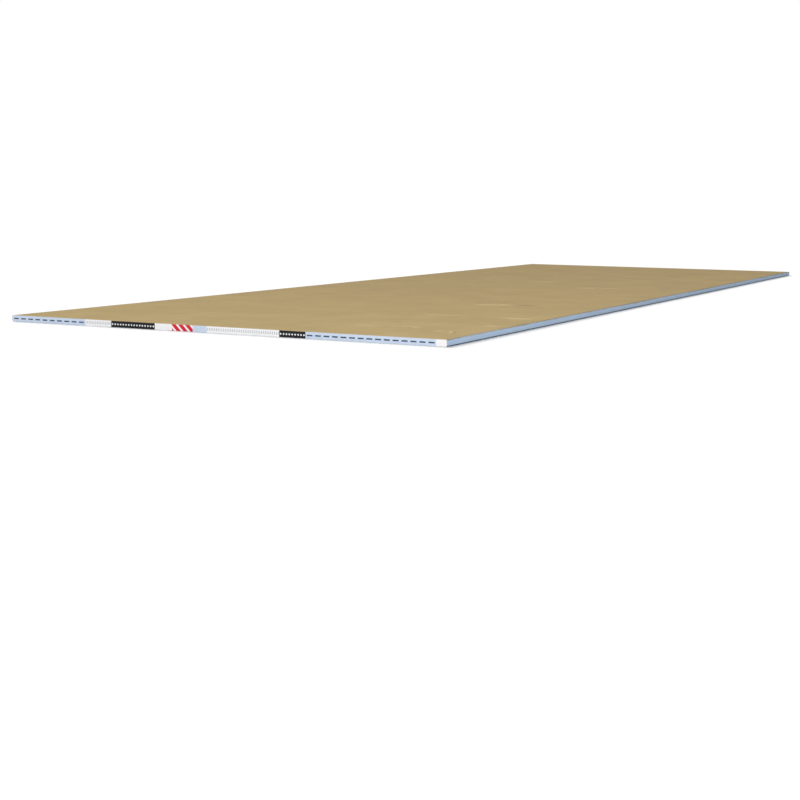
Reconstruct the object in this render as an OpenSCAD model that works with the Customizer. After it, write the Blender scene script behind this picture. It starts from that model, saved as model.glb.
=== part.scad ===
// Drywall sheet with tapered long edges, lying on its face with its back up.
// Millimetres. Length along Y, width along X, origin under the middle of the face.

/* [Sheet] */
// Length of the sheet between its square-cut ends
sheet_length = 3657.6; // [1828.8:0.1:4876.8]
// Width of the sheet across its two long edges
sheet_width = 1219.2; // [609.6:0.1:1371.6]
// Thickness of the sheet away from its tapers
sheet_thickness = 15.9; // [9.5:0.1:25.4]

/* [Long edges] */
// Width of the sloping band of the face along each long edge
taper_width = 60; // [40:1:80]
// Depth of the slope where it meets the long edge
taper_depth = 1.9; // [0.5:0.1:2.3]
// Radius where the face paper turns from the slope up the long edge
face_fold_radius = 1.2; // [0.5:0.1:2.5]
// Radius where the face paper turns from the long edge onto the back
back_fold_radius = 1.6; // [0.5:0.1:2.5]

/* [End tape] */
// Thickness of the paper tape
tape_thickness = 0.15; // [0.1:0.05:0.5]
// Distance that the tape stops short of each long edge
tape_side_gap = 2; // [0:0.5:10]
// Height of the slit that parted the tape, above the plane of the face
tape_slit_height = 0.4; // [0.1:0.1:1]

/* [Hidden] */
$fn = 64;
half_width = sheet_width / 2;
half_length = sheet_length / 2;
slope_length = norm([taper_width, taper_depth]);
// Where the slope starts, and the sharp corners that the folds round off
slope_start = [half_width - taper_width, 0];
face_corner = [half_width, taper_depth];
back_corner = [half_width, sheet_thickness];
// Unit normals of the slope, the long edge and the back, into the board
slope_normal = [-taper_depth, taper_width] / slope_length;
edge_normal = [-1, 0];
back_normal = [0, -1];

// Point that lies a distance r inside both lines that meet at a corner
function inset(corner, n1, n2, r) = corner + r * (n1 + n2) / (1 + n1 * n2);

// Sliver between a sharp corner and the round of radius r that replaces it
module corner_waste(corner, n1, n2, r) {
    centre = inset(corner, n1, n2, r);
    difference() {
        polygon([corner, centre - r * n1, centre, centre - r * n2]);
        translate(centre) circle(r);
    }
}

// Half of the board's section, from its middle to one long edge
module half_section() {
    difference() {
        polygon([[0, 0], slope_start, face_corner, back_corner, [0, sheet_thickness]]);
        corner_waste(face_corner, slope_normal, edge_normal, face_fold_radius);
        corner_waste(back_corner, edge_normal, back_normal, back_fold_radius);
    }
}

module board_section() {
    half_section();
    mirror([1, 0]) half_section();
}

// Half of an end tape, on the end at -Y
module end_tape() {
    tape_width = sheet_width - 2 * tape_side_gap;
    tape_height = sheet_thickness - tape_slit_height;
    translate([-tape_width / 2, -half_length - tape_thickness, tape_slit_height])
        cube([tape_width, tape_thickness, tape_height]);
}

module board() {
    color("#B7A480")
        translate([0, half_length, 0])
            rotate([90, 0, 0])
                linear_extrude(sheet_length) board_section();
}

module end_tape_near() {
    color("#EEF1F7") end_tape();
}

module end_tape_far() {
    color("#EEF1F7") rotate([0, 0, 180]) end_tape();
}

board();
end_tape_near();
end_tape_far();
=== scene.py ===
import math
from functools import reduce

import bpy
from mathutils import Euler, Matrix, Vector


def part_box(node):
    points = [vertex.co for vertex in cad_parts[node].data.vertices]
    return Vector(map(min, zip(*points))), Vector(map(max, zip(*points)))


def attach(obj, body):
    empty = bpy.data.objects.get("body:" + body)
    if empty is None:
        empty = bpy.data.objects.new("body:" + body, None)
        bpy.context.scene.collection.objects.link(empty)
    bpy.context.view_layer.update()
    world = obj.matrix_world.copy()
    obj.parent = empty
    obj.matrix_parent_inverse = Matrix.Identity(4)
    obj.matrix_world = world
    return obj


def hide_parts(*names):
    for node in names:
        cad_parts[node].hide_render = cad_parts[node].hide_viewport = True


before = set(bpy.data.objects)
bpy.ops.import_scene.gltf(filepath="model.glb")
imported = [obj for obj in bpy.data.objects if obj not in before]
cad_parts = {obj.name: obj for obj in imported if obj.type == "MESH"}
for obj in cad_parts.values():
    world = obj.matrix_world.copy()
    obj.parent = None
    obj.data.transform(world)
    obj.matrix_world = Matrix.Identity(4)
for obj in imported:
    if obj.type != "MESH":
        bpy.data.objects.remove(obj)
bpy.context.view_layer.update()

boardLow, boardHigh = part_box("board")
tapeLow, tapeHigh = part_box("end_tape_near")


# Shorthand for node trees
def addNode(tree, kind, **settings):
    node = tree.nodes.new(kind)
    for name, value in settings.items():
        setattr(node, name, value)
    return node


def feed(tree, socket, value):  # links another socket, or sets a plain value
    if isinstance(value, bpy.types.NodeSocket):
        tree.links.new(value, socket)
    else:
        socket.default_value = value


def feedAll(tree, node, values):  # in the order of the node's sockets
    for socket, value in zip(node.inputs, values):
        feed(tree, socket, value)
    return node.outputs


def calc(tree, operation, *values):
    return feedAll(tree, addNode(tree, "ShaderNodeMath", operation=operation), values)[0]


def total(tree, *values):
    return reduce(lambda one, other: calc(tree, "ADD", one, other), values)


def product(tree, *values):
    return reduce(lambda one, other: calc(tree, "MULTIPLY", one, other), values)


def vectorCalc(tree, operation, *values):
    outputs = feedAll(tree, addNode(tree, "ShaderNodeVectorMath", operation=operation), values)
    return outputs["Value" if operation == "LENGTH" else "Vector"]


def point(tree, x, y, z):
    return feedAll(tree, addNode(tree, "ShaderNodeCombineXYZ"), (x, y, z))[0]


def axes(tree, vector):
    return feedAll(tree, addNode(tree, "ShaderNodeSeparateXYZ"), (vector,))[:]


def ease(tree, value, low, high, atLow=0.0, atHigh=1.0):  # from atLow to atHigh as value goes low to high
    node = addNode(tree, "ShaderNodeMapRange", interpolation_type="SMOOTHSTEP")
    names = ("Value", "From Min", "From Max", "To Min", "To Max")
    for name, given in zip(names, (value, low, high, atLow, atHigh)):
        feed(tree, node.inputs[name], given)
    return node.outputs["Result"]


def between(tree, noise, low, high):  # a noise keeps mostly to 0.3 to 0.7, and here goes from low to high
    return ease(tree, noise, 0.3, 0.7, low, high)


def softNoise(tree, where, size, detail):
    node = addNode(tree, "ShaderNodeTexNoise")
    feed(tree, node.inputs["Vector"], where)
    node.inputs["Scale"].default_value = 1 / size
    node.inputs["Detail"].default_value = detail
    return node.outputs


def grain(tree, where, size, stretch=(1, 1, 1), detail=2.0, shift=0.0):  # noise about size metres across
    place = vectorCalc(tree, "MULTIPLY_ADD", where, [1 / s for s in stretch], (shift, shift, shift))
    return softNoise(tree, place, size, detail)[0]


def ruffle(tree, where, size, reach):  # the place moved about by up to reach metres
    aside = vectorCalc(tree, "SUBTRACT", softNoise(tree, where, size, 4)["Color"], (0.5, 0.5, 0.5))
    return vectorCalc(tree, "MULTIPLY_ADD", aside, (2 * reach, 2 * reach, 0), where)


def tint(tree, amount, under, over):
    node = addNode(tree, "ShaderNodeMix", data_type="RGBA")
    colourSockets = (node.inputs[0], node.inputs[6], node.inputs[7])  # the others are for plain numbers
    for socket, value in zip(colourSockets, (amount, under, over)):
        feed(tree, socket, value)
    return node.outputs[2]


def shade(tree, colour, tone):  # the colour made lighter or darker by tone
    node = addNode(tree, "ShaderNodeVectorMath", operation="SCALE")
    feed(tree, node.inputs[0], colour[:3] if isinstance(colour, tuple) else colour)
    feed(tree, node.inputs["Scale"], tone)
    return node.outputs[0]


def newFinish(name):
    finish = bpy.data.materials.new(name)
    finish.use_nodes = True
    tree = finish.node_tree
    where = addNode(tree, "ShaderNodeTexCoord").outputs["Object"]
    return finish, tree, tree.nodes["Principled BSDF"], where


def addBump(tree, shader, height, depth):  # depth in metres for a height from 0 to 1
    bump = addNode(tree, "ShaderNodeBump")
    bump.inputs["Distance"].default_value = depth
    feed(tree, bump.inputs["Height"], height)
    feed(tree, shader.inputs["Normal"], bump.outputs[0])


def newTree(name, sizes, finishes):
    tree = bpy.data.node_groups.new(name, "GeometryNodeTree")
    tree.interface.new_socket("Geometry", in_out="OUTPUT", socket_type="NodeSocketGeometry")
    for label, value in sizes.items():
        kind = "NodeSocketInt" if isinstance(value, int) else "NodeSocketFloat"
        tree.interface.new_socket(label, in_out="INPUT", socket_type=kind)
    for label in finishes:
        tree.interface.new_socket(label, in_out="INPUT", socket_type="NodeSocketMaterial")
    return tree, addNode(tree, "NodeGroupInput").outputs


def geometry(tree, kind, incoming, settings=None, **values):  # a node fed a geometry and named values
    node = addNode(tree, kind, **(settings or {}))
    feed(tree, node.inputs[0], incoming)
    for name, value in values.items():
        feed(tree, node.inputs[name], value)
    return node.outputs[0]


def onFaces(tree, value):  # the value at the middle of each face
    node = addNode(tree, "GeometryNodeFieldOnDomain", domain="FACE", data_type="FLOAT")
    return feedAll(tree, node, (value,))[0]


def softShade(tree, mesh, sharpFrom):  # smooth, apart from edges that turn by more than sharpFrom degrees
    mesh = geometry(tree, "GeometryNodeSetShadeSmooth", mesh, **{"Shade Smooth": True})
    turn = addNode(tree, "GeometryNodeInputMeshEdgeAngle").outputs["Unsigned Angle"]
    sharp = calc(tree, "GREATER_THAN", turn, math.radians(sharpFrom))
    return geometry(tree, "GeometryNodeSetShadeSmooth", mesh, {"domain": "EDGE"},
                    Selection=sharp, **{"Shade Smooth": False})


def runTree(name, tree, values):  # a plain mesh of what the tree makes
    piece = bpy.data.objects.new(name, bpy.data.meshes.new(name))
    bpy.context.scene.collection.objects.link(piece)
    modifier = piece.modifiers.new("shape", "NODES")
    modifier.node_group = tree
    for item in tree.interface.items_tree:
        if item.in_out == "INPUT":
            modifier[item.identifier] = values[item.name]
    ready = piece.evaluated_get(bpy.context.evaluated_depsgraph_get())
    plain = bpy.data.meshes.new_from_object(ready)
    piece.modifiers.remove(modifier)
    if None in plain.materials[:]:  # the empty slot that a ready-made cube brings
        plain.materials.pop(index=plain.materials[:].index(None))
    piece.data = plain
    return piece


# Board: its section is swept along the sheet, and the papers and the core take their own finishes
boardShape = {
    "Width": boardHigh.x - boardLow.x,
    "Length": boardHigh.y - boardLow.y,
    "Thickness": boardHigh.z - boardLow.z,
    "Taper Width": 0.060,
    "Taper Depth": 0.0019,
    "Face Fold": 0.0012,
    "Back Fold": 0.0016,
    "Paper Margin": 0.0022,  # bare hem between the back paper and the long edge
    "Paper Step": 0.0003,
    "Margin Wander": 0.0004,
    "Edge Wander": 0.0002,
    "Fold Steps": 10,
    "Length Cuts": 360,
}
boardLook = {
    "tan": (0.451, 0.334, 0.156, 1),
    "scuff": (0.716, 0.558, 0.305, 1),
    # dark brown: the curled hairs, the dark marks with their painted shade, and the darker colour on the
    # hem
    "dark brown": (0.250, 0.180, 0.090, 1),
    "fleck": (0.130, 0.090, 0.050, 1),
    "blue": (0.412, 0.540, 0.705, 1),
    "pale blue": (0.620, 0.700, 0.820, 1),
    "gypsum": (0.700, 0.680, 0.640, 1),
    # sizes of the patterns and depth of the relief, in metres
    "back": {"cloud": 0.045, "blotch": 0.180, "streak": 0.006, "fibre": 0.0011, "rub": 0.009,
             "relief": 0.00008},
    "face": {"cloud": 0.030, "fibre": 0.0009, "wear": 0.003, "relief": 0.00006},
    "end": {"cloud": 0.006, "pore": 0.0007, "paper": 0.00045, "relief": 0.0004},
    "hairs": [("scuff", 0.007, 0.0, 0.30), ("dark brown", 0.009, 9.0, 0.25)],  # colour, size, shift, strength
    "flecks": {"spacing": 0.009, "radius": 0.0007, "share": 0.3, "strength": 0.6},
    # darker colour along the trimmed edge of the back paper: its rim on the paper, the size of its patches,
    # how far down the long edge it is full and gone, and the streaks that make it end unevenly there
    "edgeDarkening": {"rim": 0.004, "patch": 0.060, "full": 0.0008, "gone": 0.0034,
             "streak": 0.003, "uneven": 0.0009},
    "ragged": {"size": 0.030, "reach": 0.020},  # outlines of the scuffs and marks
    # centre, length, width, turn and strength of each light scuff and dark mark, in metres and degrees
    "scuffs": [
        ((0.290, -1.600), 0.100, 0.030, 2, 0.26),
        ((0.370, -1.575), 0.090, 0.030, 25, 0.30),
        ((0.405, -1.590), 0.060, 0.050, -40, 0.31),
        ((0.320, -1.210), 0.200, 0.040, 4, 0.25),
        ((0.525, -1.210), 0.120, 0.060, 10, 0.50),
        ((0.280, -0.795), 0.160, 0.085, 25, 0.50),
        ((0.560, -1.460), 0.060, 0.040, 0, 0.35),
        ((0.505, -1.640), 0.050, 0.030, -20, 0.30),
        ((0.541, -1.658), 0.120, 0.014, 108, 0.30),
        ((0.245, 0.145), 0.130, 0.060, 38, 0.50),
        ((0.335, 0.165), 0.120, 0.050, 18, 0.50),
        ((-0.015, 0.420), 0.150, 0.065, 30, 0.48),
    ],
    # dark marks: soil, and painted shade along the light scuffs that they lie beside
    "marksAndShade": [
        ((0.554, -1.662), 0.110, 0.012, 108, 0.35),
        ((0.250, -1.592), 0.014, 0.010, 40, 0.55),
        ((0.315, -1.465), 0.024, 0.016, 20, 0.55),
        ((0.410, -1.602), 0.024, 0.018, 0, 0.75),
        ((-0.115, -1.255), 0.030, 0.020, -15, 0.55),
        ((0.375, -0.765), 0.085, 0.050, 32, 0.50),
        ((-0.400, -0.105), 0.050, 0.030, 20, 0.55),
        ((-0.170, 0.035), 0.050, 0.030, 25, 0.55),
    ],
    "mark depth": 7.0,  # times the relief of the paper
}


def smudges(tree, where, spots, patchy=1.0):  # the strength of each spot in its middle, 0 at its rim
    spread = 0.0
    for centre, length, width, turn, strength in spots:
        mapping = addNode(tree, "ShaderNodeMapping", vector_type="TEXTURE")
        feed(tree, mapping.inputs["Vector"], where)
        mapping.inputs["Location"].default_value = (*centre, boardHigh.z)
        mapping.inputs["Rotation"].default_value = (0, 0, math.radians(turn))
        mapping.inputs["Scale"].default_value = (length / 2, width / 2, 1)
        ball = addNode(tree, "ShaderNodeTexGradient", gradient_type="SPHERICAL")
        feed(tree, ball.inputs[0], mapping.outputs[0])
        near = product(tree, ball.outputs["Fac"], patchy)
        spread = calc(tree, "MAXIMUM", spread, ease(tree, near, 0.0, 0.65, 0.0, strength))
    return spread


def specks(tree, where, spacing, radius, share):  # round specks, one at most in each cell
    cells = addNode(tree, "ShaderNodeTexVoronoi", voronoi_dimensions="2D")
    feed(tree, cells.inputs["Vector"], where)
    cells.inputs["Scale"].default_value = 1 / spacing
    near = ease(tree, cells.outputs["Distance"], 0.5 * radius / spacing, radius / spacing, 1.0, 0.0)
    chosen = calc(tree, "LESS_THAN", axes(tree, cells.outputs["Color"])[0], share)
    return product(tree, near, chosen)


def curledHairs(tree, where, size, shift):  # broken height lines of a soft noise
    level = calc(tree, "ABSOLUTE", calc(tree, "SUBTRACT", grain(tree, where, size, shift=shift), 0.5))
    broken = ease(tree, grain(tree, where, size * 0.6, shift=shift + 5), 0.54, 0.60)
    return product(tree, ease(tree, level, 0.005, 0.016, 1.0, 0.0), broken)


def edgeDarkeningPatches(tree, where, look):  # strength of the darker colour at the edges, more and less along the sheet
    return between(tree, grain(tree, where, look["edgeDarkening"]["patch"], (1, 4, 1), 3), 0.45, 0.85)


def backPaper(look, shape):
    finish, tree, shader, where = newFinish("tanBackPaper")
    sizes = look["back"]
    cloud = grain(tree, where, sizes["cloud"], (1, 1.6, 1), 3)
    blotch = grain(tree, where, sizes["blotch"], detail=4)
    streak = grain(tree, where, sizes["streak"], (1, 60, 1))  # drawn out along the paper's run
    fibre = grain(tree, where, sizes["fibre"], (1, 2.2, 1), 3)
    tone = total(tree, between(tree, cloud, 0.895, 0.935), between(tree, blotch, -0.036, 0.036),
                 between(tree, streak, -0.02, 0.02), ease(tree, fibre, 0.25, 0.75, 0.02, 0.14))
    colour = shade(tree, look["tan"], tone)
    for hue, size, shift, strength in look["hairs"]:
        hairs = product(tree, curledHairs(tree, where, size, shift), strength)
        colour = tint(tree, hairs, colour, look[hue])
    flecks = look["flecks"]
    fleck = specks(tree, where, flecks["spacing"], flecks["radius"], flecks["share"])
    colour = tint(tree, product(tree, fleck, flecks["strength"]), colour, look["fleck"])
    rub = grain(tree, where, sizes["rub"], (2.5, 1, 1), 5)
    uneven = ruffle(tree, where, look["ragged"]["size"], look["ragged"]["reach"])
    worn = smudges(tree, uneven, look["scuffs"], between(tree, cloud, 0.6, 1.6))
    worn = product(tree, worn, ease(tree, rub, 0.30, 0.55))
    colour = tint(tree, worn, colour, look["scuff"])
    # the dark marks are pressed in, and coloured as soil and as painted shade beside the light scuffs
    markedAndShaded = smudges(tree, uneven, look["marksAndShade"])
    colour = tint(tree, markedAndShaded, colour, look["dark brown"])
    # darker colour along the trimmed edge
    out = calc(tree, "ABSOLUTE", axes(tree, where)[0])
    trimmed = shape["Width"] / 2 - shape["Paper Margin"]
    rim = ease(tree, out, trimmed - look["edgeDarkening"]["rim"], trimmed)
    colour = tint(tree, product(tree, rim, edgeDarkeningPatches(tree, where, look)), colour, look["fleck"])
    feed(tree, shader.inputs["Base Color"], colour)
    feed(tree, shader.inputs["Roughness"], ease(tree, fibre, 0.2, 0.8, 0.75, 0.92))
    shader.inputs["Specular IOR Level"].default_value = 0.15
    relief = total(tree, fibre, worn, product(tree, markedAndShaded, -look["mark depth"]))
    addBump(tree, shader, relief, sizes["relief"])
    return finish


def facePaper(look, shape):
    finish, tree, shader, where = newFinish("blueFacePaper")
    sizes = look["face"]
    cloud = grain(tree, where, sizes["cloud"], (1, 2, 1), 3)
    fibre = grain(tree, where, sizes["fibre"], (1, 2, 1), 3)
    tone = total(tree, between(tree, cloud, 0.90, 0.96), ease(tree, fibre, 0.25, 0.75, 0.02, 0.12))
    colour = shade(tree, look["blue"], tone)
    worn = ease(tree, grain(tree, where, sizes["wear"], (1, 25, 1), 3), 0.58, 0.75, 0.0, 0.35)
    colour = tint(tree, worn, colour, look["pale blue"])
    # the hem below the edge of the back paper is darker, fading out down the long edge
    edgeDarkening = look["edgeDarkening"]
    streak = grain(tree, where, edgeDarkening["streak"], (1, 8, 1), 4)
    fromBack = calc(tree, "SUBTRACT", shape["Thickness"], axes(tree, where)[2])
    down = total(tree, fromBack, between(tree, streak, -edgeDarkening["uneven"], edgeDarkening["uneven"]))
    hem = ease(tree, down, edgeDarkening["full"], edgeDarkening["gone"], 1.0, 0.0)
    colour = tint(tree, product(tree, hem, edgeDarkeningPatches(tree, where, look)), colour, look["dark brown"])
    feed(tree, shader.inputs["Base Color"], colour)
    feed(tree, shader.inputs["Roughness"], ease(tree, fibre, 0.2, 0.8, 0.65, 0.85))
    shader.inputs["Specular IOR Level"].default_value = 0.3
    addBump(tree, shader, fibre, sizes["relief"])
    return finish


def insideRound(tree, fromOne, fromOther, radius):  # depth inside a corner rounded by that radius
    over = [calc(tree, "MAXIMUM", calc(tree, "SUBTRACT", radius, gap), 0.0) for gap in (fromOne, fromOther)]
    return calc(tree, "SUBTRACT", radius, vectorCalc(tree, "LENGTH", point(tree, *over, 0.0)))


def cutEnd(look, shape):  # bare gypsum with the cut line of the papers round it
    finish, tree, shader, where = newFinish("gypsumCutEnd")
    sizes = look["end"]
    cloud = grain(tree, where, sizes["cloud"], detail=4)
    pores = grain(tree, where, sizes["pore"])
    tone = product(tree, between(tree, cloud, 0.85, 1.0), ease(tree, pores, 0.3, 0.5, 0.75, 1.0))
    x, _, z = axes(tree, where)
    half = shape["Width"] / 2
    slope = shape["Taper Depth"] / shape["Taper Width"]
    out = calc(tree, "ABSOLUTE", x)
    onSlope = calc(tree, "MAXIMUM", calc(tree, "SUBTRACT", out, half - shape["Taper Width"]), 0.0)
    fromFace = calc(tree, "SUBTRACT", z, product(tree, onSlope, slope))
    fromBack = calc(tree, "SUBTRACT", shape["Thickness"], z)
    fromSide = calc(tree, "SUBTRACT", half, out)
    depth = calc(tree, "MINIMUM", insideRound(tree, fromSide, fromFace, shape["Face Fold"]),
                 insideRound(tree, fromSide, fromBack, shape["Back Fold"]))
    paper = ease(tree, depth, 0.85 * sizes["paper"], sizes["paper"], 1.0, 0.0)
    onBack = product(tree, calc(tree, "LESS_THAN", fromBack, sizes["paper"]),
                     calc(tree, "GREATER_THAN", fromSide, shape["Paper Margin"]))
    paperColour = tint(tree, onBack, shade(tree, look["blue"], tone), look["tan"])
    colour = tint(tree, paper, shade(tree, look["gypsum"], tone), paperColour)
    feed(tree, shader.inputs["Base Color"], colour)
    shader.inputs["Roughness"].default_value = 0.95
    shader.inputs["Specular IOR Level"].default_value = 0.2
    addBump(tree, shader, total(tree, cloud, pores), sizes["relief"])
    return finish


def wander(tree, line, reach, wave, shift=0.0):  # up to reach to either side, in waves about that long
    sway = ease(tree, grain(tree, line, wave, shift=shift), 0.2, 0.8, -1.0, 1.0)
    return product(tree, sway, reach)


def boardTree(shape, finishes):
    tree, given = newTree("sweptBoard", shape, finishes)
    half = product(tree, given["Width"], 0.5)
    hemTop = calc(tree, "SUBTRACT", given["Thickness"], given["Paper Step"])
    paperEdge = calc(tree, "SUBTRACT", half, given["Paper Margin"])
    slack = 0.00005  # metres, less than any step in the section
    # corners of one half of the section, from the face round the long edge to the back
    corners = [
        (calc(tree, "SUBTRACT", half, given["Taper Width"]), 0.0, 0.0),
        (half, given["Taper Depth"], given["Face Fold"]),
        (half, hemTop, given["Back Fold"]),
        (paperEdge, hemTop, 0.0),
        (paperEdge, given["Thickness"], 0.0),
    ]
    # points count up through the corners on one half, and down again on the other
    index = addNode(tree, "GeometryNodeInputIndex").outputs[0]
    last = 2 * len(corners) - 1
    corner = calc(tree, "MINIMUM", index, calc(tree, "SUBTRACT", last, index))
    place = addNode(tree, "GeometryNodeIndexSwitch", data_type="VECTOR")
    radius = addNode(tree, "GeometryNodeIndexSwitch", data_type="FLOAT")
    for switch in (place, radius):
        for _ in corners[2:]:
            switch.index_switch_items.new()
        feed(tree, switch.inputs["Index"], corner)
    for i, (x, z, fold) in enumerate(corners):
        feed(tree, place.inputs[1 + i], point(tree, x, z, 0.0))
        feed(tree, radius.inputs[1 + i], fold)
    side = calc(tree, "SIGN", calc(tree, "SUBTRACT", last / 2, index))
    flip = point(tree, side, -1.0, 1.0)  # the sweep turns the section over
    section = addNode(tree, "GeometryNodePoints")
    section.inputs["Count"].default_value = last + 1
    feed(tree, section.inputs["Position"], vectorCalc(tree, "MULTIPLY", place.outputs[0], flip))
    section = geometry(tree, "GeometryNodePointsToCurves", section.outputs[0])
    section = geometry(tree, "GeometryNodeSetSplineCyclic", section, Cyclic=True)
    section = geometry(tree, "GeometryNodeFilletCurve", section, {"mode": "POLY"},
                       Count=given["Fold Steps"], Radius=radius.outputs[0], **{"Limit Radius": True})
    end = point(tree, 0.0, product(tree, given["Length"], 0.5), 0.0)
    run = addNode(tree, "GeometryNodeCurvePrimitiveLine")
    feed(tree, run.inputs["Start"], vectorCalc(tree, "MULTIPLY", end, (-1, -1, -1)))
    feed(tree, run.inputs["End"], end)
    run = geometry(tree, "GeometryNodeResampleCurve", run.outputs[0], Count=given["Length Cuts"])
    board = geometry(tree, "GeometryNodeCurveToMesh", run, **{"Profile Curve": section, "Fill Caps": True})
    board = geometry(tree, "GeometryNodeFlipFaces", board)  # a section turned over sweeps inside out
    # the long edges, and the trimmed edge of the back paper, wander a little along the sheet
    x, y, z = axes(tree, addNode(tree, "GeometryNodeInputPosition").outputs[0])
    out = calc(tree, "ABSOLUTE", x)
    line = point(tree, calc(tree, "SIGN", x), y, 0.0)
    midSlope = calc(tree, "MULTIPLY_ADD", given["Taper Width"], -0.5, half)
    atEdge = calc(tree, "GREATER_THAN", out, midSlope)
    inPaper = product(tree, calc(tree, "GREATER_THAN", z, calc(tree, "SUBTRACT", hemTop, slack)),
                      calc(tree, "LESS_THAN", out, calc(tree, "ADD", paperEdge, slack)))
    edgeMove = wander(tree, line, given["Edge Wander"], wave=0.09)
    paperMove = wander(tree, line, given["Margin Wander"], wave=0.12, shift=3)
    move = total(tree, product(tree, edgeMove, atEdge), product(tree, paperMove, inPaper))
    board = geometry(tree, "GeometryNodeSetPosition", board, Offset=point(tree, move, 0.0, 0.0))
    board = softShade(tree, board, sharpFrom=25)
    board = geometry(tree, "GeometryNodeRealizeInstances", board)
    normal = axes(tree, addNode(tree, "GeometryNodeInputNormal").outputs[0])
    cut = calc(tree, "GREATER_THAN", calc(tree, "ABSOLUTE", normal[1]), 0.9)  # the two ends
    tan = calc(tree, "GREATER_THAN", z, calc(tree, "ADD", hemTop, slack))  # the back and its edge
    board = geometry(tree, "GeometryNodeSetMaterial", board, Material=given["Face Paper"])
    board = geometry(tree, "GeometryNodeSetMaterial", board, Selection=tan, Material=given["Back Paper"])
    board = geometry(tree, "GeometryNodeSetMaterial", board, Selection=cut, Material=given["Cut End"])
    feed(tree, addNode(tree, "NodeGroupOutput").inputs[0], board)
    return tree


boardFinishes = {
    "Back Paper": backPaper(boardLook, boardShape),
    "Face Paper": facePaper(boardLook, boardShape),
    "Cut End": cutEnd(boardLook, boardShape),
}
sweptBoard = boardTree(boardShape, boardFinishes)
drywallBoard = runTree("drywallBoard", sweptBoard, {**boardShape, **boardFinishes})
print("board:", len(drywallBoard.data.polygons), "faces,", [m.name for m in drywallBoard.data.materials])


# End tape: a printed paper strip on each end, slit along its lower edge
tapeShape = {
    "Width": tapeHigh.x - tapeLow.x,
    "Height": tapeHigh.z - tapeLow.z,
    "Thickness": tapeHigh.y - tapeLow.y,
    "Slit Height": tapeLow.z,
    "Board End": -tapeHigh.y,
    "Slit Roughness": 0.0002,
    "Slit Curl": 0.0005,  # how far the loose slit edge may stand off the board
    "Columns": 1200,
    "Rows": 9,
    "Map Rows": 8,  # the strip is cut into as many rows on its square bake map
}
tapeLook = {
    "white": (0.90, 0.90, 0.91, 1),
    "pale blue": (0.59, 0.68, 0.82, 1),
    "black": (0.010, 0.010, 0.012, 1),
    "red": (0.65, 0.020, 0.040, 1),
    "grey": (0.45, 0.46, 0.48, 1),
    "navy": (0.060, 0.085, 0.150, 1),
    "glue": (0.70, 0.66, 0.56, 1),
    # colour, motif and width in metres of each printed field, from the left until the print starts again
    "fields": [
        ("pale blue", "dashes", 0.230),
        ("white", "ticks", 0.080),
        ("black", "dots", 0.130),
        ("white", "", 0.050),
        ("red", "slashes", 0.060),
        ("pale blue", "", 0.040),
        ("white", "ticks", 0.200),
        ("black", "dots", 0.070),
        ("pale blue", "dashes", 0.330),
        ("white", "", 0.110),
    ],
    # ink of each motif, its pitch and sizes in metres, and how far up the tape its row is
    "motifs": {
        "dashes": {"form": "bar", "ink": "navy", "pitch": 0.022,
                   "wide": 0.015, "tall": 0.0034, "up": 0.0075},
        "ticks": {"form": "bar", "ink": "grey", "pitch": 0.005,
                  "wide": 0.0018, "tall": 0.007, "up": 0.0085},
        "dots": {"form": "diamond", "ink": "white", "pitch": 0.008, "wide": 0.0052, "up": 0.0075},
        "slashes": {"form": "slant", "ink": "white", "pitch": 0.020, "wide": 0.007},
    },
    "starts": {"endTapeNear": 0.0, "endTapeFar": 0.52},
    # sizes of the patterns and depth of the relief, in metres
    "front": {"fibre": 0.0008, "fade": 0.0015, "relief": 0.00002},
    "back": {"streak": 0.004, "relief": 0.00003},
}


def motifInk(tree, along, up, motif, pitch):  # 1 where a row of the motif is inked
    def fromMiddle(place):  # middles lie a pitch apart, the first half a pitch in
        return calc(tree, "PINGPONG", calc(tree, "ADD", place, pitch / 2), pitch / 2)

    def within(distance, size):
        return calc(tree, "LESS_THAN", distance, size / 2)

    if motif["form"] == "slant":
        return within(fromMiddle(total(tree, along, up)), motif["wide"])
    fromRow = calc(tree, "ABSOLUTE", calc(tree, "SUBTRACT", up, motif["up"]))
    if motif["form"] == "diamond":
        return within(total(tree, fromMiddle(along), fromRow), motif["wide"])
    return product(tree, within(fromMiddle(along), motif["wide"]), within(fromRow, motif["tall"]))


def printFields(tree, along, up, look):  # each field covers all beyond its start, until the next covers it
    lapLength = sum(width for _, _, width in look["fields"])
    lap = product(tree, calc(tree, "FRACT", calc(tree, "DIVIDE", along, lapLength)), lapLength)
    colour = look["white"]
    start = 0.0
    for hue, name, width in look["fields"]:
        place = calc(tree, "SUBTRACT", lap, start)
        reached = calc(tree, "GREATER_THAN", place, 0.0)
        colour = tint(tree, reached, colour, look[hue])
        if name:
            motif = look["motifs"][name]
            pitch = width / round(width / motif["pitch"])  # so that whole motifs fill the field
            inked = product(tree, reached, motifInk(tree, place, up, motif, pitch))
            colour = tint(tree, inked, colour, look[motif["ink"]])
        start += width
    return colour


def tapePrint(look):
    finish, tree, shader, where = newFinish("printedTapePaper")
    along, up, _ = axes(tree, addNode(tree, "ShaderNodeUVMap", uv_map="printMap").outputs[0])
    colour = printFields(tree, along, up, look)
    sizes = look["front"]
    fibre = grain(tree, where, sizes["fibre"], detail=3)
    faded = ease(tree, grain(tree, where, sizes["fade"], (2, 1, 1), 4), 0.54, 0.75, 0.0, 0.05)
    colour = tint(tree, faded, colour, look["white"])
    feed(tree, shader.inputs["Base Color"], shade(tree, colour, ease(tree, fibre, 0.25, 0.75, 0.97, 1.02)))
    feed(tree, shader.inputs["Roughness"], ease(tree, fibre, 0.2, 0.8, 0.45, 0.6))
    shader.inputs["Specular IOR Level"].default_value = 0.15
    addBump(tree, shader, fibre, sizes["relief"])
    return finish


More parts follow.
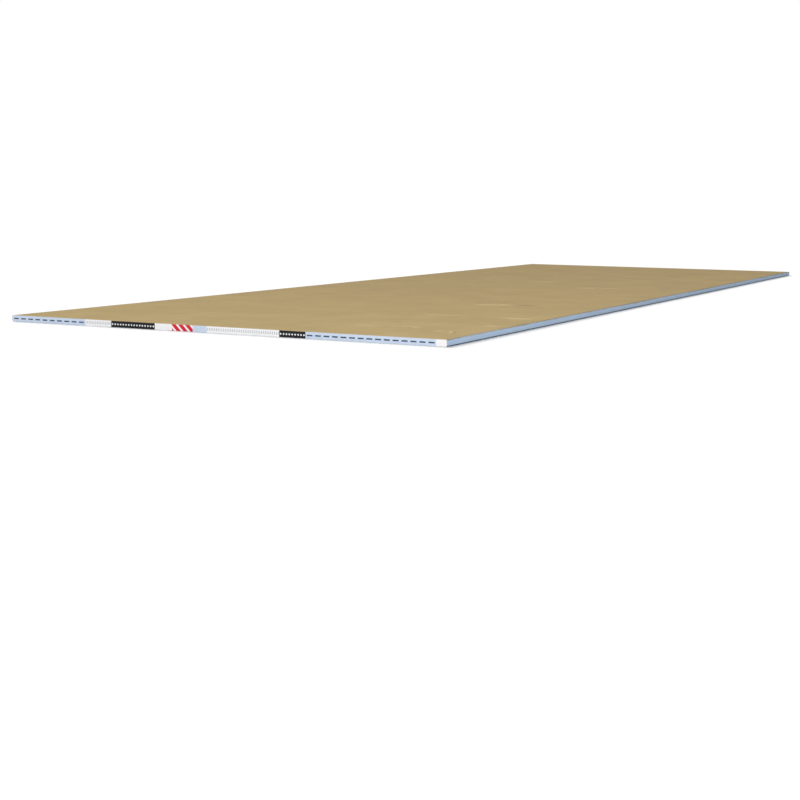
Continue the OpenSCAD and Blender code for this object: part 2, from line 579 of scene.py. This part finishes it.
def tapeGlue(look):
    finish, tree, shader, where = newFinish("gluedTapeBack")
    sizes = look["back"]
    streak = grain(tree, where, sizes["streak"], (6, 1, 1), 3)
    colour = tint(tree, ease(tree, streak, 0.4, 0.6), look["white"], look["glue"])
    feed(tree, shader.inputs["Base Color"], colour)
    feed(tree, shader.inputs["Roughness"], between(tree, streak, 0.8, 0.5))
    addBump(tree, shader, streak, sizes["relief"])
    return finish


def tapeTree(shape, finishes):
    tree, given = newTree("slitTape", {**shape, "Print Start": 0.0, "Turn": 0.0}, finishes)
    strip = addNode(tree, "GeometryNodeMeshCube")
    feed(tree, strip.inputs["Size"], point(tree, given["Width"], given["Thickness"], given["Height"]))
    feed(tree, strip.inputs["Vertices X"], given["Columns"])
    feed(tree, strip.inputs["Vertices Z"], given["Rows"])
    x, y, z = axes(tree, addNode(tree, "GeometryNodeInputPosition").outputs[0])
    along = calc(tree, "ADD", x, product(tree, given["Width"], 0.5))
    up = calc(tree, "ADD", z, product(tree, given["Height"], 0.5))
    upShare = calc(tree, "DIVIDE", up, given["Height"])
    normal = axes(tree, addNode(tree, "GeometryNodeInputNormal").outputs[0])
    printAlong = calc(tree, "ADD", along, given["Print Start"])
    # the bake map has the printed side in rows, and the other sides unrolled in one more row
    rowFill = 0.9  # the rest of a row is the gap to the next
    rowLength = calc(tree, "DIVIDE", given["Width"], given["Map Rows"])
    row = calc(tree, "FLOOR", calc(tree, "DIVIDE", onFaces(tree, along), rowLength))
    inRow = point(tree, calc(tree, "SUBTRACT", calc(tree, "DIVIDE", along, rowLength), row),
                  calc(tree, "MULTIPLY_ADD", upShare, rowFill, row), 0.0)
    frontRim = calc(tree, "ROUND", upShare)
    backRim = calc(tree, "MULTIPLY_ADD", upShare, 0.6, 0.2)  # the back takes the middle of that row
    behind = calc(tree, "GREATER_THAN", y, 0.0)
    rolled = calc(tree, "MULTIPLY_ADD", behind, calc(tree, "SUBTRACT", backRim, frontRim), frontRim)
    inLastRow = point(tree, calc(tree, "DIVIDE", along, given["Width"]),
                      calc(tree, "MULTIPLY_ADD", rolled, rowFill, given["Map Rows"]), 0.0)
    mapPlace = addNode(tree, "GeometryNodeSwitch", input_type="VECTOR")
    feed(tree, mapPlace.inputs["Switch"], calc(tree, "LESS_THAN", onFaces(tree, normal[1]), -0.5))
    feed(tree, mapPlace.inputs["False"], inLastRow)
    feed(tree, mapPlace.inputs["True"], inRow)
    rowShare = calc(tree, "DIVIDE", 1.0, calc(tree, "ADD", given["Map Rows"], 1.0))
    mapPlace = vectorCalc(tree, "MULTIPLY", mapPlace.outputs[0], point(tree, 1.0, rowShare, 1.0))
    tape = strip.outputs["Mesh"]
    flatMap = {"data_type": "FLOAT2", "domain": "CORNER"}
    for name, place in (("printMap", point(tree, printAlong, up, 0.0)), ("OFBake", mapPlace)):
        tape = geometry(tree, "GeometryNodeStoreNamedAttribute", tape, flatMap, Name=name, Value=place)
    # the slit edge is ragged, and stands off the board here and there
    line = point(tree, printAlong, 0.0, 0.0)
    atSlit = calc(tree, "LESS_THAN", upShare, 0.01)
    nearSlit = ease(tree, upShare, 0.0, 0.3, 1.0, 0.0)
    uneven = ease(tree, grain(tree, line, 0.004, detail=4), 0.25, 0.75, -1.0, 1.0)
    loose = ease(tree, grain(tree, line, 0.050, shift=2), 0.42, 0.68)
    ragged = product(tree, uneven, given["Slit Roughness"], atSlit)
    curl = product(tree, loose, given["Slit Curl"], nearSlit, -1.0)
    tape = geometry(tree, "GeometryNodeSetPosition", tape, Offset=point(tree, 0.0, curl, ragged))
    # the strip goes to its place on the near end, or is turned round to the far one
    endPlace = product(tree, given["Board End"], -1.0)
    middle = calc(tree, "MULTIPLY_ADD", given["Thickness"], -0.5, endPlace)
    rise = calc(tree, "MULTIPLY_ADD", given["Height"], 0.5, given["Slit Height"])
    tape = geometry(tree, "GeometryNodeTransform", tape, Translation=point(tree, 0.0, middle, rise))
    tape = geometry(tree, "GeometryNodeTransform", tape, Rotation=point(tree, 0.0, 0.0, given["Turn"]))
    tape = softShade(tree, tape, sharpFrom=30)
    tape = geometry(tree, "GeometryNodeRealizeInstances", tape)
    outward = product(tree, normal[1], calc(tree, "COSINE", given["Turn"]))
    printed = calc(tree, "LESS_THAN", outward, -0.5)
    tape = geometry(tree, "GeometryNodeSetMaterial", tape, Material=given["Glue"])
    tape = geometry(tree, "GeometryNodeSetMaterial", tape, Selection=printed, Material=given["Print"])
    feed(tree, addNode(tree, "NodeGroupOutput").inputs[0], tape)
    return tree


tapeFinishes = {"Print": tapePrint(tapeLook), "Glue": tapeGlue(tapeLook)}
slitTape = tapeTree(tapeShape, tapeFinishes)
tapes = {}
for name, turn in (("endTapeNear", 0.0), ("endTapeFar", math.pi)):
    values = {**tapeShape, **tapeFinishes, "Print Start": tapeLook["starts"][name], "Turn": turn}
    tapes[name] = runTree(name, slitTape, values)
    print(name + ":", len(tapes[name].data.polygons), "faces")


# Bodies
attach(drywallBoard, "root")
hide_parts("board")
for name, node in (("endTapeNear", "end_tape_near"), ("endTapeFar", "end_tape_far")):
    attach(tapes[name], "root")
    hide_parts(node)
print("pieces ride on root")


# Floor, light and camera
studio = {
    "floor size": 120.0,
    "floor": (0.78, 0.78, 0.78, 1),  # as the light meets it
    "floor seen": (0.95, 0.95, 0.95, 1),  # as the eye meets it
    "sky": 0.36,  # strength of its light, though the eye sees it white
    # places and sizes of the lamps in metres, spread of the far ones in degrees
    "overhead": {"from": (-0.35, -0.40, 0.85), "spread": 40, "strength": 1.05},
    "behind": {"from": (-0.60, 0.50, 0.45), "spread": 30, "strength": 2.75},  # for the floor alone
    "key": {"place": (-1.0, -4.0, 4.0), "aim": (0.0, -1.2, 0.0), "size": 2.5, "watts": 60},
    "fill": {"place": (3.2, -3.6, 1.2), "aim": (0.6, -1.6, 0.0), "size": 1.5, "watts": 60},
}
view = {
    "place": (1.911, -4.704, 0.321),
    "turn": 26.21,  # degrees that the view is turned from the sheet's length
    "dip": 7.92,  # degrees that it looks down
    "roll": 0.58,  # degrees that it leans to its left
    "lens": 65.24,  # millimetres, on a sensor 36 wide
    "reach": 200,  # metres, past the far edge of the floor
}


def seenRays(tree):  # 1 for what the eye sees, straight or in a reflection
    path = addNode(tree, "ShaderNodeLightPath").outputs
    seen = calc(tree, "MAXIMUM", path["Is Camera Ray"], path["Is Glossy Ray"])
    return calc(tree, "MAXIMUM", seen, path["Is Transmission Ray"])


def studioFloor(look):
    side = look["floor size"] / 2
    corners = [(-side, -side, 0), (side, -side, 0), (side, side, 0), (-side, side, 0)]
    mesh = bpy.data.meshes.new("studioFloor")
    mesh.from_pydata(corners, [], [(0, 1, 2, 3)])
    floor = bpy.data.objects.new("studioFloor", mesh)
    bpy.context.scene.collection.objects.link(floor)
    finish, tree, shader, _ = newFinish("floorWhite")
    colour = tint(tree, seenRays(tree), look["floor"], look["floor seen"])
    feed(tree, shader.inputs["Base Color"], colour)
    shader.inputs["Roughness"].default_value = 1.0
    shader.inputs["Specular IOR Level"].default_value = 0.0
    mesh.materials.append(finish)
    return floor


def studioSky(look):
    world = bpy.data.worlds.new("studioSky")
    world.use_nodes = True
    tree = world.node_tree
    sky = tree.nodes["Background"]
    sky.inputs["Color"].default_value = (1, 1, 1, 1)
    feed(tree, sky.inputs["Strength"], ease(tree, seenRays(tree), 0.0, 1.0, look["sky"], 1.0))
    bpy.context.scene.world = world


def hangLamp(name, data, place, aim):
    lamp = bpy.data.objects.new(name, data)
    lamp.location = place
    lamp.rotation_euler = (Vector(aim) - Vector(place)).to_track_quat("-Z", "Y").to_euler()
    bpy.context.scene.collection.objects.link(lamp)
    return lamp


def farLamp(name, look):  # broad and far off, so the whole floor gets the same light
    data = bpy.data.lights.new(name, "SUN")
    data.energy = look["strength"]
    data.angle = math.radians(look["spread"])
    return hangLamp(name, data, look["from"], (0, 0, 0))


def softbox(name, look):  # close by the near end, so the sheet dims a little towards its far end
    data = bpy.data.lights.new(name, "AREA")
    data.energy = look["watts"]
    data.size = look["size"]
    return hangLamp(name, data, look["place"], look["aim"])


def setReach(lamp, floor, onFloor):  # the lamp lights the floor alone, or all but the floor
    reach = bpy.data.collections.new(lamp.name + "Reach")
    reach.objects.link(floor)
    reach.collection_objects[0].light_linking.link_state = "INCLUDE" if onFloor else "EXCLUDE"
    lamp.light_linking.receiver_collection = reach


def aimCamera(look):
    data = bpy.data.cameras.new("photoCamera")
    data.lens = look["lens"]
    data.clip_end = look["reach"]
    camera = bpy.data.objects.new("photoCamera", data)
    camera.location = look["place"]
    level = Euler((math.radians(90 - look["dip"]), 0, math.radians(look["turn"]))).to_matrix()
    camera.rotation_euler = (level @ Matrix.Rotation(math.radians(look["roll"]), 3, "Z")).to_euler()
    bpy.context.scene.collection.objects.link(camera)
    bpy.context.scene.camera = camera


floor = studioFloor(studio)
studioSky(studio)
farLamp("overheadLamp", studio["overhead"])
setReach(farLamp("behindLamp", studio["behind"]), floor, True)
setReach(softbox("keyLamp", studio["key"]), floor, False)
setReach(softbox("fillLamp", studio["fill"]), floor, False)
aimCamera(view)
bpy.context.scene.view_settings.view_transform = "Standard"
print("floor, light and camera are set")
